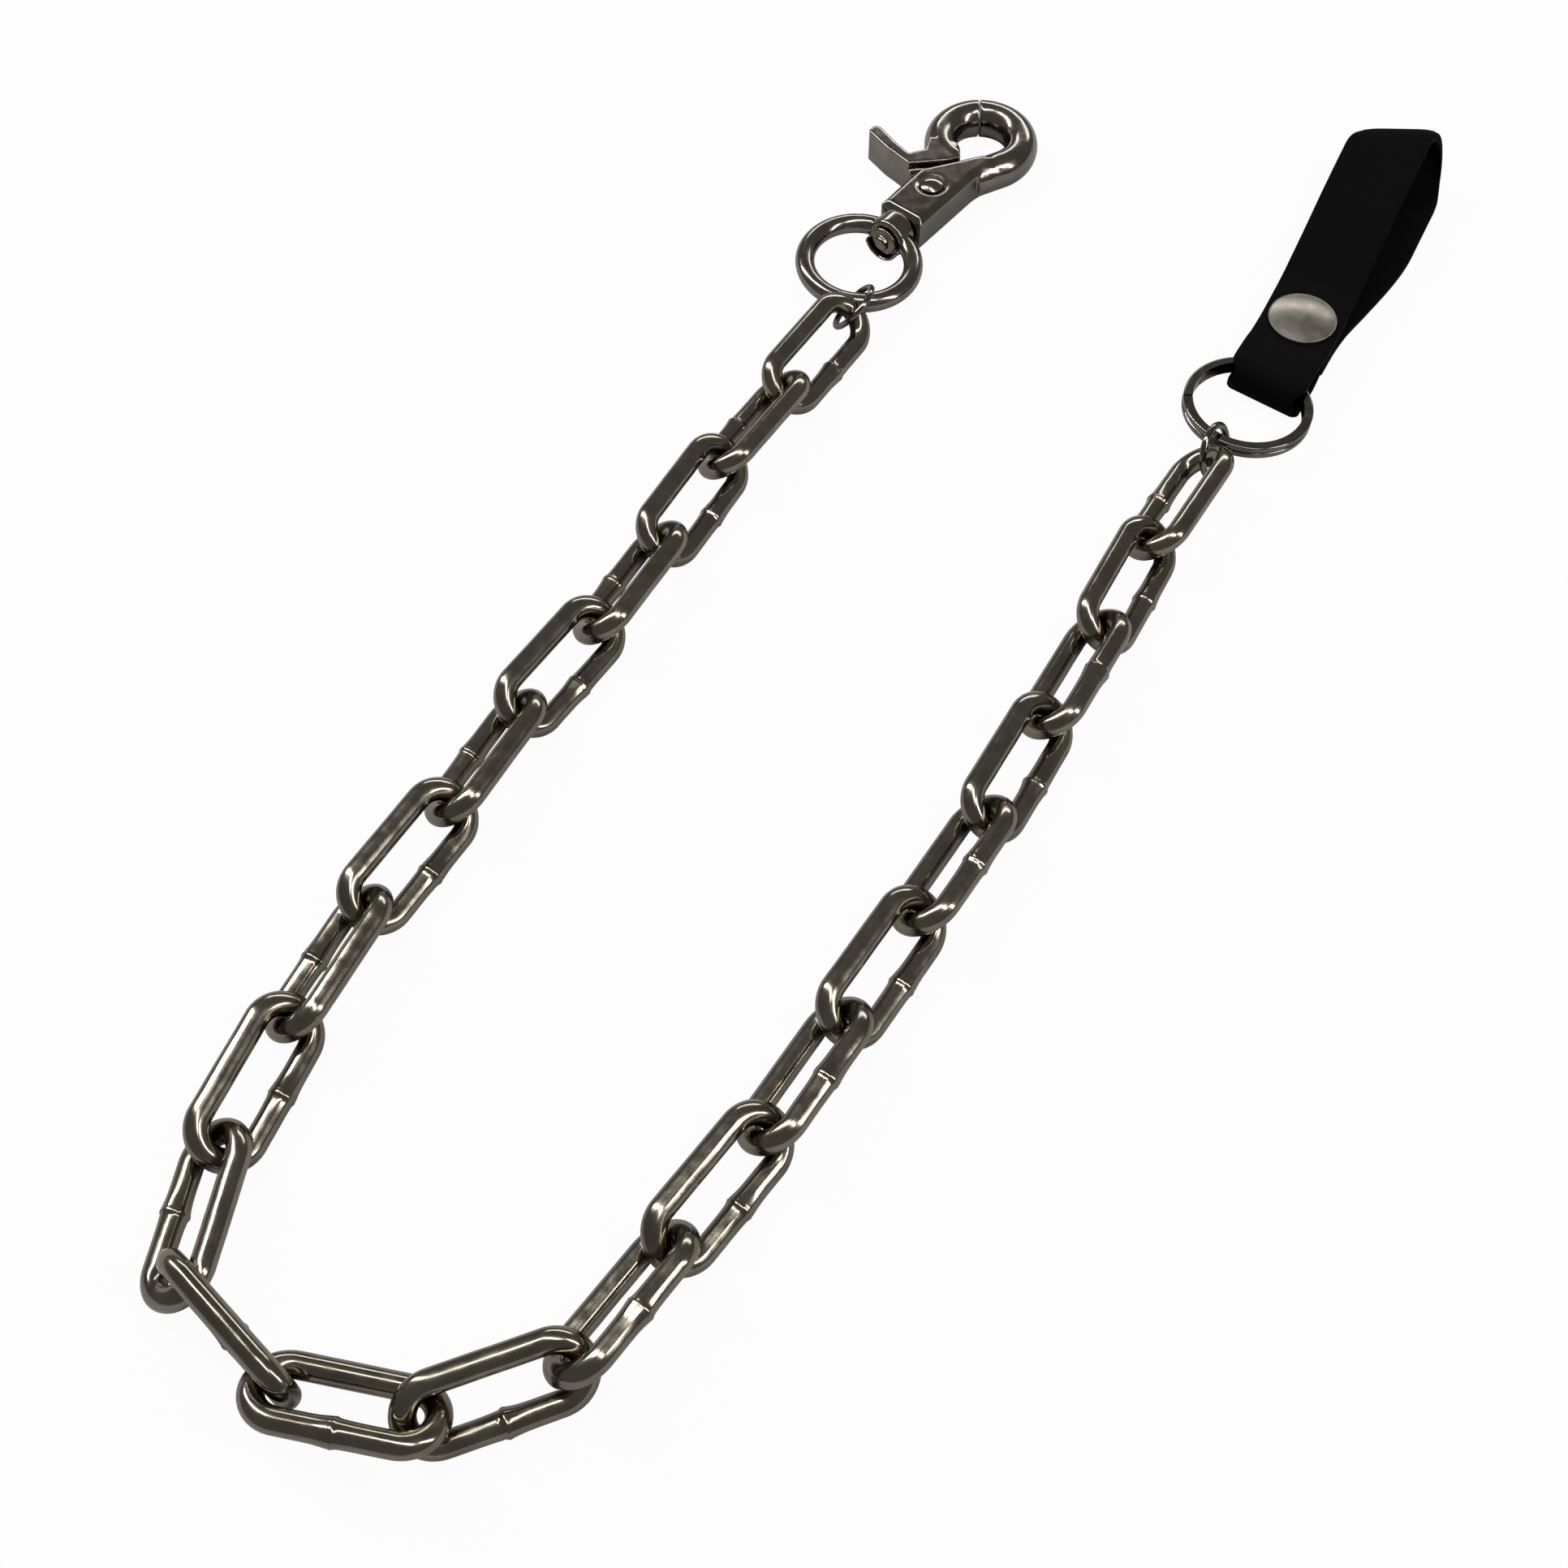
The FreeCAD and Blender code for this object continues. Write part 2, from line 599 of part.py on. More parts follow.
def strap():
    """Front layer, the fold round the ring and the flap under the snap."""
    fold_r = fold_height() / 2
    fold_x = fold_inside_x() + fold_r - LEATHER / 2
    low = FLOOR_GAP + LEATHER / 2
    high = low + fold_height()
    flap_end = SNAP_DISTANCE + SNAP_CAP_D / 2
    left = fold_x - fold_r
    ramp_foot = SPLIT_RING_D / 2 + RAMP_CLEAR
    ramp_top = SNAP_DISTANCE - SNAP_CAP_D / 2 + 0.4
    path = [
        (flap_end, FLAP_Z, 0),
        (ramp_top, FLAP_Z, 3),
        (ramp_foot, low, 3),
        (left, low, fold_r - 0.01),
        (left, high, fold_r - 0.01),
        (ramp_foot, high, 12),
        (ramp_top - 1.2, FRONT_Z, 6),
        (SNAP_DISTANCE + SNAP_CAP_D / 2 + 4, FRONT_Z, 30),
        (CROWN_DISTANCE - 24, CROWN_Z + CROWN_MID_R - 4.4, 60),
        (CROWN_DISTANCE + CROWN_MID_R, CROWN_Z + CROWN_MID_R + 0.4, CROWN_MID_R - 1.2),
        (CROWN_DISTANCE + CROWN_MID_R, CROWN_Z, 0),
    ]
    leather = ribbon(path, LEATHER, STRAP_WIDTH)
    snap_at = vec(SNAP_DISTANCE, SNAP_Y)
    hole = disc(POST_D / 2 + RIVET_HOLE_CLEAR, FRONT_Z - LEATHER, FRONT_Z + LEATHER)
    socket_hole = disc(socket_barrel_r() + RIVET_HOLE_CLEAR, FLAP_Z - LEATHER, FLAP_Z + LEATHER / 2)
    return leather.cut(placed(hole.fuse(socket_hole), FreeCAD.Placement(snap_at, FreeCAD.Rotation())))


def strap_tongue():
    """Back layer: from the crown down, along the surface, to past the snap."""
    low = FLOOR_GAP + LEATHER / 2
    path = [
        (CROWN_DISTANCE + CROWN_MID_R, CROWN_Z, 0),
        (CROWN_DISTANCE + CROWN_MID_R, low, CROWN_MID_R - 0.3),
        (SNAP_DISTANCE + SNAP_CAP_D, low, 40),
        (SNAP_DISTANCE + SNAP_CAP_D / 2, TONGUE_Z, 20),
        (SNAP_DISTANCE - TONGUE_PAST_SNAP, TONGUE_Z, 0),
    ]
    leather = ribbon(path, LEATHER, STRAP_WIDTH)
    hole = disc(POST_D / 2 + RIVET_HOLE_CLEAR, 0, TONGUE_Z + LEATHER)
    hole.translate(vec(SNAP_DISTANCE, SNAP_Y))
    return leather.cut(hole)


def socket_barrel_r():
    return STUD_HEAD_D / 2 + SNAP_CLEAR + SOCKET_WALL


def snap_cap():
    """Domed cap with the rivet barrel that holds the socket."""
    top = FRONT_Z + LEATHER / 2
    rim_top = top + SNAP_RIM
    head = disc(SNAP_CAP_D / 2, top, rim_top)
    head = head.fuse(dome(SNAP_CAP_D - 0.6, SNAP_CAP_HEIGHT - SNAP_RIM, rim_top))
    barrel = disc(POST_D / 2, FLAP_Z + LEATHER / 2, top)
    return head.fuse(barrel)


def snap_socket():
    """Spring socket let into the flap, closed by the stud from below."""
    bottom = FLAP_Z - LEATHER / 2 - SOCKET_FLANGE
    top = FLAP_Z + LEATHER / 2
    flange = disc(SOCKET_D / 2, bottom, FLAP_Z - LEATHER / 2)
    barrel = disc(socket_barrel_r(), bottom, top)
    bore = disc(STUD_HEAD_D / 2 + SNAP_CLEAR, bottom, top - SOCKET_ROOF)
    return flange.fuse(barrel).cut(bore)


def snap_stud():
    """Stud on the tongue, with its head inside the socket."""
    base = TONGUE_Z + LEATHER / 2
    top = FLAP_Z + LEATHER / 2 - SOCKET_ROOF - 2 * SNAP_CLEAR
    collar = disc(SOCKET_D / 2 - STUD_NECK, base, base + STUD_COLLAR)
    neck = disc(STUD_HEAD_D / 2 - STUD_NECK, base, top)
    head = disc(STUD_HEAD_D / 2, top - STUD_HEAD_HEIGHT, top)
    head = head.makeFillet(EDGE_ROUND, head.Edges)
    return collar.fuse([neck, head]).cut(disc(POST_D / 2, base, base + STUD_DEPTH))


def snap_post():
    """Eyelet post under the tongue that the stud is set on."""
    low = FLOOR_GAP
    flange = disc(POST_FLANGE_D / 2, low, low + POST_FLANGE)
    flange = flange.makeFillet(FLANGE_ROUND, flange.Edges)
    return flange.fuse(disc(POST_D / 2, low, TONGUE_Z + LEATHER / 2 + STUD_DEPTH))


# ---------------------------------------------------------------- assembly
def assemble():
    """Every piece where it lies, with the hook's rivet over the origin."""
    pieces = {}
    heading = direction(HOOK_HEADING)
    hook_at = frame_placement(vec(0, 0, MID), heading, direction(HOOK_HEADING + 90))
    for make in (hook_body, trigger, trigger_rivet, trigger_spring, swivel_eye):
        pieces[make.__name__] = placed(make(), hook_at)

    eye_centre = hook_at.multVec(vec(eye_centre_x(), 0))
    eye_turn = FreeCAD.Rotation(vec(1, 0, 0), -EYE_TILT)
    bearing = math.radians(EYE_LINK_BEARING - HOOK_HEADING)
    radial = eye_turn.multVec(vec(math.cos(bearing), math.sin(bearing)))
    tangent = eye_turn.multVec(vec(-math.sin(bearing), math.cos(bearing)))
    radial = hook_at.Rotation.multVec(radial)
    eye_contact = eye_centre + radial * EYE_MEAN_R
    eye_tangent = hook_at.Rotation.multVec(tangent)

    spacing = EYE_WIRE / 2 + LINK_WIRE / 2 + EYE_LINK_GAP
    away = unit(vec(radial.x, radial.y))
    lies = lay_chain(eye_contact + away * spacing)
    first = lies[0]
    link_contact = first.centre + first.bow(-1, first.along)
    pieces["jump_ring_hook"] = jump_ring(
        HOOK_RING_WIRE,
        HOOK_RING_PLAY,
        HOOK_RING_SHARE,
        HOOK_RING_SHIFT,
        (link_contact, first.left, LINK_WIRE / 2),
        (eye_contact, eye_tangent, EYE_WIRE / 2),
    )
    for number, lie in enumerate(lies, 1):
        link = link_solid(1 if number in WELD_LEFT else -1)
        pieces["link_%02d" % number] = placed(link, lie.placement())

    last = lies[-1]
    last_contact = last.centre + last.bow(1, last.along)
    ring_dir = direction(SPLIT_BEARING)
    tilt = math.radians(SPLIT_TILT)
    slope = ring_dir * math.cos(tilt) - vec(0, 0, math.sin(tilt))
    mean_r = SPLIT_RING_D / 2 - SPLIT_COIL_WIDTH / 2
    fold_mid_z = FLOOR_GAP + LEATHER + FOLD_CLEAR + SPLIT_HALF_THICK
    fold_mid_x = (fold_inside_x() + SPLIT_RING_D / 2) / 2
    far_z = fold_mid_z - (mean_r - fold_mid_x) * math.sin(tilt)
    centre_z = far_z + mean_r * math.sin(tilt)
    near_z = centre_z + mean_r * math.sin(tilt)
    apart = SPLIT_COIL_WIDTH / 2 + LINK_WIRE / 2 + STRAP_LINK_GAP
    rise = near_z - last_contact.z
    run = math.sqrt(apart * apart - rise * rise)
    near = last_contact + ring_dir * run + vec(0, 0, rise)
    centre = near + slope * mean_r
    across = direction(SPLIT_BEARING + 90)
    ring_at = frame_placement(centre, slope, across)
    pieces["split_ring"] = placed(split_ring(), ring_at)
    pieces["jump_ring_strap"] = jump_ring(
        STRAP_RING_WIRE,
        STRAP_RING_PLAY,
        STRAP_RING_SHARE,
        STRAP_RING_SHIFT,
        (last_contact, last.left, LINK_WIRE / 2),
        (near, across, SPLIT_COIL_WIDTH / 2),
    )

    strap_dir = direction(STRAP_HEADING)
    strap_at = frame_placement(
        vec(centre.x, centre.y, 0), strap_dir, direction(STRAP_HEADING + 90)
    )
    for make in (strap, strap_tongue):
        pieces[make.__name__] = placed(make(), strap_at)
    snap_at = FreeCAD.Placement(
        strap_at.multVec(vec(SNAP_DISTANCE, SNAP_Y)), FreeCAD.Rotation()
    )
    for make in (snap_cap, snap_socket, snap_stud, snap_post):
        pieces[make.__name__] = placed(make(), snap_at)
    return pieces


def centred(pieces):
    """Stand the whole on Z = 0 with its box centred over the origin."""
    box = FreeCAD.BoundBox()
    for shape in pieces.values():
        box.add(shape.optimalBoundingBox(False))
    shift = vec(-box.Center.x, -box.Center.y, -box.ZMin)
    for shape in pieces.values():
        shape.translate(shift)
    return shift


os.makedirs("parts", exist_ok=True)
PIECES = assemble()
SHIFT = centred(PIECES)
for name, shape in PIECES.items():
    shape.exportStep("parts/%s.step" % name)
print("pieces", len(PIECES), "shift", SHIFT)
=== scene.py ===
import json
import math
import random

import bpy
import numpy as np
from mathutils import Matrix, Vector, noise


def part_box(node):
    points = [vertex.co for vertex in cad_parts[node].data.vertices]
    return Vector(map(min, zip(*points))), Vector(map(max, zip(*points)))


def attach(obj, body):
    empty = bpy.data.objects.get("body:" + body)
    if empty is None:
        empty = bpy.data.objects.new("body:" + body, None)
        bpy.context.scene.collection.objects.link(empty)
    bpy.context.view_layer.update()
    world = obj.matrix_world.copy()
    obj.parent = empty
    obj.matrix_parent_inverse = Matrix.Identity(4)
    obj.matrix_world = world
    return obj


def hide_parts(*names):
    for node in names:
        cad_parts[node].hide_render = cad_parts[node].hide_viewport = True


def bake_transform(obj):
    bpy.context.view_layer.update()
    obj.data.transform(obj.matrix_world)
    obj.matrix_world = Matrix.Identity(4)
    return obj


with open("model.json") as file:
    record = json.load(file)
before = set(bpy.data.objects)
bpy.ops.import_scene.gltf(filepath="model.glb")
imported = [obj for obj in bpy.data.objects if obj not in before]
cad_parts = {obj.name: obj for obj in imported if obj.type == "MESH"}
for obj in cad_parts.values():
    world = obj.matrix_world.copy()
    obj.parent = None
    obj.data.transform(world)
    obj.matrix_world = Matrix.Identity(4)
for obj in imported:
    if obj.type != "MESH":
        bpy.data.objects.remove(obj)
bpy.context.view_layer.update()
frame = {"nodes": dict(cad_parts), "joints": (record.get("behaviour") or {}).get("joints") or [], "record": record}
MM = 0.001

# ---------------------------------------------------------------- driving sizes
LINK_WIRE = 4.5 * MM
WELD_FLARE = 0.26 * MM  # how much the wire swells towards the butt weld
WELD_BEAD = 0.18 * MM  # height of the bead on top of the flare
WELD_REACH = 3.2 * MM  # length of the flare on each side
LEATHER = 2.1 * MM
STRAP_WIDTH = 17.4 * MM
EDGE_ROUND = 0.45 * MM
CAST_VOXEL = 0.22 * MM
FLOOR_TOUCH = 0.02 * MM  # lowest point of the links above the surface
RIVET_RECESS = 0.45 * MM  # depth of the groove round the rivet

# ---------------------------------------------------------------- strap, from under the ring
SIDE_SHIFT = -1.4 * MM  # the strap lies off the ring's centre line
SNAP_X = 26.7 * MM  # ring centre to snap
CAP_R = 7.5 * MM
FOLD_END = 4.43 * MM  # middle of the leather at the end of the fold
FOLD_CORNER = 1.7 * MM  # how much narrower the strap is at the fold
CROWN_CORNER = 2.2 * MM  # how far the crown falls back at its two edges
CROWN_X = 93.95 * MM  # ring centre to the middle of the leather at the crown
CROWN_Z = 9.1 * MM
BACK_Z = 1.15 * MM  # middle of the leather on the surface
SEAM_X = 82 * MM  # where the blended loop piece meets the tongue piece
LEAN = 6.2 * MM  # how far the back layer lies to the right at its middle
CROWN_SKEW = 8.5 * MM  # how much shorter the strap is on its left at the crown
RING_SKEW = 2.4 * MM  # the same at the ring
SNAP_DRIFT = 0.8 * MM  # side shift at the snap
CROWN_DRIFT = 0.3 * MM
TONGUE_PAST_SNAP = 6.5 * MM
FLAP_Z = 5.15 * MM
FRONT_Z = 7.35 * MM
FOLD_TOP_Z = 8.05 * MM
FOLD_R = 3.44 * MM
FOOT_X = 15.9 * MM  # where the flap leaves the surface

# ---------------------------------------------------------------- camera
CAMERA_ELEVATION = 57.82
CAMERA_DISTANCE = 0.3832
CAMERA_LENS = 45.54
CAMERA_AIM = Vector((-0.02327, -0.03072, 0.00025))  # off the box centre, as the picture is framed


# ---------------------------------------------------------------- helpers
def add_mesh(name, vertices, faces, smooth=True):
    mesh = bpy.data.meshes.new(name)
    mesh.from_pydata([tuple(v) for v in vertices], [], faces)
    mesh.update()
    obj = bpy.data.objects.new(name, mesh)
    bpy.context.scene.collection.objects.link(obj)
    if smooth:
        mesh.polygons.foreach_set("use_smooth", [True] * len(mesh.polygons))
    return obj


def node_points(node):
    mesh = frame["nodes"][node].data
    points = np.zeros(len(mesh.vertices) * 3)
    mesh.vertices.foreach_get("co", points)
    return points.reshape(-1, 3)


def body_of_node(node):
    for body, members in frame["record"]["behaviour"]["bodies"].items():
        if node in members:
            return body
    return "root"


def tube(rings, closed):
    """Vertices and quads that join equal rings of points, one after another."""
    count = len(rings[0])
    vertices = [p for ring in rings for p in ring]
    faces = []
    last = len(rings) if closed else len(rings) - 1
    for i in range(last):
        here = i * count
        ahead = ((i + 1) % len(rings)) * count
        for j in range(count):
            k = (j + 1) % count
            faces.append((here + j, here + k, ahead + k, ahead + j))
    return vertices, faces


def along_uv(obj, rings, count, turn):
    """UV map with U along the sweep and V round it, both in metres."""
    layer = obj.data.uv_layers.new(name="sweep")
    for polygon in obj.data.polygons:
        base = polygon.index
        i, j = divmod(base, count)
        corners = ((i, j), (i, j + 1), (i + 1, j + 1), (i + 1, j))
        for loop, (a, b) in zip(polygon.loop_indices, corners):
            layer.data[loop].uv = (a * rings, b * turn)


# ---------------------------------------------------------------- materials
class Nodes:
    """Short calls for building one material's node tree."""

    def __init__(self, name):
        self.material = bpy.data.materials.new(name)
        self.material.use_nodes = True
        self.tree = self.material.node_tree
        self.shader = self.tree.nodes["Principled BSDF"]

    def add(self, kind, **settings):
        node = self.tree.nodes.new(kind)
        for key, value in settings.items():
            if hasattr(node, key):
                setattr(node, key, value)
            else:
                node.inputs[key.replace("_", " ")].default_value = value
        return node

    def link(self, source, output, target, entry):
        self.tree.links.new(source.outputs[output], target.inputs[entry])

    def noise(self, coordinates, scale, detail=4.0, stretch=None):
        texture = self.add("ShaderNodeTexNoise", Scale=scale, Detail=detail)
        if stretch:
            mapping = self.add("ShaderNodeMapping")
            mapping.inputs["Scale"].default_value = stretch
            self.tree.links.new(coordinates, mapping.inputs["Vector"])
            coordinates = mapping.outputs["Vector"]
        self.tree.links.new(coordinates, texture.inputs["Vector"])
        return texture

    def ramp(self, source, output, low, high, low_value, high_value):
        ranged = self.add("ShaderNodeMapRange")
        for entry, value in zip(("From Min", "From Max", "To Min", "To Max"),
                                (low, high, low_value, high_value)):
            ranged.inputs[entry].default_value = value
        self.link(source, output, ranged, "Value")
        return ranged

    def bump(self, heights):
        """Chain of bumps, given as (node, output, distance in metres, strength)."""
        before = None
        for source, output, distance, strength in heights:
            bump = self.add("ShaderNodeBump")
            bump.inputs["Distance"].default_value = distance
            bump.inputs["Strength"].default_value = strength
            self.link(source, output, bump, "Height")
            if before:
                self.link(before, "Normal", bump, "Normal")
            before = bump
        self.link(before, "Normal", self.shader, "Normal")


def plated_metal(name, dark, light, rough_low, rough_high, wave=1.0, streaks=False):
    """Nickel plate: tone and gloss vary in patches, over a faintly uneven surface."""
    nodes = Nodes(name)
    nodes.shader.inputs["Metallic"].default_value = 1.0
    coordinates = nodes.add("ShaderNodeTexCoord")
    space = coordinates.outputs["Object"]
    patches = nodes.noise(space, 180.0, 5.0)
    tone = nodes.add("ShaderNodeMix", data_type="RGBA")
    tone.inputs["A"].default_value = (*dark, 1)
    tone.inputs["B"].default_value = (*light, 1)
    share = nodes.ramp(patches, "Fac", 0.3, 0.7, 0.0, 1.0)
    nodes.tree.links.new(share.outputs["Result"], tone.inputs["Factor"])
    nodes.tree.links.new(tone.outputs["Result"], nodes.shader.inputs["Base Color"])
    gloss = nodes.noise(space, 420.0, 6.0)
    rough = nodes.ramp(gloss, "Fac", 0.3, 0.7, rough_low, rough_high)
    nodes.link(rough, "Result", nodes.shader, "Roughness")
    fine = nodes.noise(space, 2600.0, 3.0)
    slow = nodes.noise(space, 130.0, 2.0)
    heights = [(slow, "Fac", 0.0001 * wave, 0.5), (fine, "Fac", 0.000003, 0.4)]
    if streaks:
        drawn = nodes.noise(coordinates.outputs["UV"], 1.0, 2.0, (45.0, 1500.0, 1.0))
        heights.append((drawn, "Fac", 0.00001, 0.5))
    nodes.bump(heights)
    return nodes.material


def black_leather(name):
    """Matte finished leather: fine pebble, soft creases, slightly rubbed tone."""
    nodes = Nodes(name)
    coordinates = nodes.add("ShaderNodeTexCoord")
    space = coordinates.outputs["Object"]
    wear = nodes.noise(space, 220.0, 6.0)
    tone = nodes.add("ShaderNodeMix", data_type="RGBA")
    tone.inputs["A"].default_value = (0.0009, 0.0009, 0.0009, 1)
    tone.inputs["B"].default_value = (0.0022, 0.0021, 0.002, 1)
    share = nodes.ramp(wear, "Fac", 0.35, 0.7, 0.0, 1.0)
    nodes.tree.links.new(share.outputs["Result"], tone.inputs["Factor"])
    nodes.tree.links.new(tone.outputs["Result"], nodes.shader.inputs["Base Color"])
    rough = nodes.ramp(wear, "Fac", 0.3, 0.7, 0.7, 0.85)
    nodes.link(rough, "Result", nodes.shader, "Roughness")
    nodes.shader.inputs["Specular IOR Level"].default_value = 0.05
    pebble = nodes.add("ShaderNodeTexVoronoi", Scale=1500.0, feature="SMOOTH_F1")
    nodes.tree.links.new(space, pebble.inputs["Vector"])
    creases = nodes.noise(space, 380.0, 5.0)
    nodes.bump([
        (pebble, "Distance", 0.00005, 0.5),
        (creases, "Fac", 0.00012, 0.4),
    ])
    return nodes.material


def make_materials():
    return {
        "link": plated_metal("dark_nickel_drawn", (0.205, 0.183, 0.145), (0.285, 0.252, 0.2),
                             0.11, 0.21, 1.0, streaks=True),
        "cast": plated_metal("dark_nickel_cast", (0.19, 0.17, 0.145), (0.25, 0.225, 0.19),
                             0.12, 0.22, 1.0),
        "ring": plated_metal("dark_nickel_ring", (0.16, 0.148, 0.13), (0.21, 0.195, 0.17),
                             0.08, 0.16, 0.5),
        "satin": plated_metal("satin_nickel", (0.24, 0.222, 0.188), (0.3, 0.275, 0.235),
                              0.3, 0.4, 0.9),
        "spring": plated_metal("spring_steel", (0.3, 0.29, 0.275), (0.38, 0.37, 0.35),
                               0.2, 0.3, 0.4),
        "leather": black_leather("black_leather"),
    }


# ---------------------------------------------------------------- chain links
def principal_frame(points):
    """Centre and the three principal directions of a cloud, longest first."""
    centre = (points.max(0) + points.min(0)) / 2
    for _ in range(3):
        moved = points - centre
        _, _, axes = np.linalg.svd(moved[:: max(1, len(moved) // 4000)], full_matrices=False)
        local = moved @ axes.T
        middle = (local.max(0) + local.min(0)) / 2
        centre = centre + middle @ axes
    return centre, axes


def stadium(straight, bow_r, count):
    """Evenly spaced (point, tangent) pairs round the centreline of a link."""
    bow = math.pi * bow_r
    total = 4 * straight + 2 * bow
    samples = []
    for i in range(count):
        s = total * i / count
        if s < straight:
            samples.append((Vector((s, bow_r, 0)), Vector((1, 0, 0)), s))
            continue
        s_rest = s - straight
        if s_rest < bow:
            a = math.pi / 2 - s_rest / bow_r
            spot = Vector((straight + bow_r * math.cos(a), bow_r * math.sin(a), 0))
            samples.append((spot, Vector((math.sin(a), -math.cos(a), 0)), s))
            continue
        s_rest -= bow
        if s_rest < 2 * straight:
            samples.append((Vector((straight - s_rest, -bow_r, 0)), Vector((-1, 0, 0)), s))
            continue
        s_rest -= 2 * straight
        if s_rest < bow:
            a = -math.pi / 2 - s_rest / bow_r
            spot = Vector((-straight + bow_r * math.cos(a), bow_r * math.sin(a), 0))
            samples.append((spot, Vector((math.sin(a), -math.cos(a), 0)), s))
            continue
        s_rest -= bow
        samples.append((Vector((-straight + s_rest, bow_r, 0)), Vector((1, 0, 0)), s))
    return samples


def weld_radius(distance, angle, chance):
    """Wire radius near the butt weld: a flare, a proud bead and a burr."""
    flare = WELD_FLARE * math.exp(-((distance / WELD_REACH) ** 2) * 2)
    step = 0.5 + 0.5 * math.tanh(distance * chance["side"] / (0.25 * MM))
    bead = WELD_BEAD * math.exp(-((distance / (0.55 * MM)) ** 2))
    groove = -0.12 * MM * math.exp(-(((distance - chance["groove"]) / (0.22 * MM)) ** 2))
    burr = max(0.0, math.cos(angle - chance["burr"])) ** 3
    bump = 0.09 * MM * burr * math.exp(-((distance / (1.1 * MM)) ** 2))
    return flare * (0.35 + 0.65 * step) + bead + groove + bump


def chain_link(node, material):
    points = node_points(node)
    centre, axes = principal_frame(points)
    local = (points - centre) @ axes.T
    r = LINK_WIRE / 2
    length = np.ptp(local[:, 0])
    at_weld = np.abs(local[:, 0]) < 2 * MM
    side = 1 if local[at_weld, 1].mean() > 0 else -1
    # away from the weld the link is plain, so its far rail gives the true width
    plain = np.abs(local[:, 0]) > 3 * MM
    centre_y = (local[plain, 1].max() + local[plain, 1].min()) / 2
    width = np.ptp(local[plain, 1])
    bow_r = width / 2 - r
    straight = length / 2 - r - bow_r
    chance = random.Random(node)
    weld = {
        "side": chance.choice((-1, 1)),
        "groove": chance.uniform(0.25, 0.6) * MM * chance.choice((-1, 1)),
        "burr": chance.uniform(0.5, 2.6),
    }
    rings = []
    count = 36
    steps = 220
    samples = stadium(straight, bow_r, steps)
    total = 4 * straight + 2 * math.pi * bow_r
    for spot, tangent, s in samples:
        outward = Vector((-tangent.y, tangent.x, 0))
        near = min(s, total - s) * (1 if s < total / 2 else -1)
        ring = []
        for j in range(count):
            angle = 2 * math.pi * j / count
            radius = r
            if abs(near) < 3 * WELD_REACH:
                radius += weld_radius(near, angle, weld)
            offset = outward * math.cos(angle) + Vector((0, 0, 1)) * math.sin(angle)
            place = spot + offset * radius
            dent = noise.noise(place * 210 + Vector((chance_seed(node), 0, 0)))
            ring.append(place + offset * dent * 0.035 * MM)
        rings.append(ring)
    vertices, faces = tube(rings, True)
    along, left, normal = (Vector(a) for a in axes)
    left = left * side
    normal = along.cross(left)
    middle = Vector(centre) + Vector(axes[1]) * centre_y
    world = Matrix((along, left, normal)).transposed()
    vertices = [middle + world @ v for v in vertices]
    for place in vertices:
        place.z = max(place.z, FLOOR_TOUCH)
    piece = add_mesh("chain_" + node, vertices, faces)
    along_uv(piece, total / steps, count, 2 * math.pi * r / count)
    piece.data.materials.append(material)
    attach(piece, body_of_node(node))
    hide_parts(node)
    return piece


def chance_seed(node):
    return sum(ord(letter) for letter in node) * 0.37


# ---------------------------------------------------------------- cast pieces
def cast_piece(node, name, material, rounds):
    """A CAD node's form with the soft edges and fillets of a plated casting."""
    piece = add_mesh(name, [], [])
    piece.data = frame["nodes"][node].data.copy()
    piece.data.name = name
    remesh = piece.modifiers.new("remesh", "REMESH")
    remesh.mode = "VOXEL"
    remesh.voxel_size = CAST_VOXEL
    remesh.use_smooth_shade = True
    soften = piece.modifiers.new("soften", "SMOOTH")
    soften.factor = 0.5
    soften.iterations = rounds
    bpy.context.view_layer.update()
    graph = bpy.context.evaluated_depsgraph_get()
    baked = bpy.data.meshes.new_from_object(piece.evaluated_get(graph))
    piece.modifiers.clear()
    piece.data = baked
    if node == "hook_body":
        rivet_recess(baked)
    piece.data.materials.clear()
    piece.data.materials.append(material)
    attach(piece, body_of_node(node))
    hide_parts(node)
    return piece


def rivet_recess(mesh):
    """Press a shallow groove round the rivet into the top of the hook's body."""
    axis = next(j["pos_m"] for j in frame["joints"] if j["name"] == "trigger_pull")
    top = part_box("hook_body")[1].z
    inner = 2.5 * MM
    outer = 4.1 * MM
    for vertex in mesh.vertices:
        away = math.hypot(vertex.co.x - axis[0], vertex.co.y - axis[1])
        if vertex.co.z < top - 0.6 * MM or away > outer:
            continue
        t = max(0.0, (away - inner) / (outer - inner))
        vertex.co.z -= RIVET_RECESS * (1 - t * t) ** 2


# ---------------------------------------------------------------- leather
def strap_frame():
    """Origin under the split ring's centre, X along the strap, Y to its left."""
    joints = {j["name"]: j for j in frame["joints"]}
    crown = Vector(joints["snap_open"]["pos_m"])
    ring = Vector(joints["belt_loop_slide"]["pos_m"])
    axis = Vector(joints["snap_open"]["axis"])
    along = Vector((0, 0, 1)).cross(axis).normalized()
    if along.dot(crown - ring) < 0:
        along = -along
    left = Vector((0, 0, 1)).cross(along)
    origin = Vector((ring.x, ring.y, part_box("strap")[0].z - 0.1 * MM))
    return origin, along, left


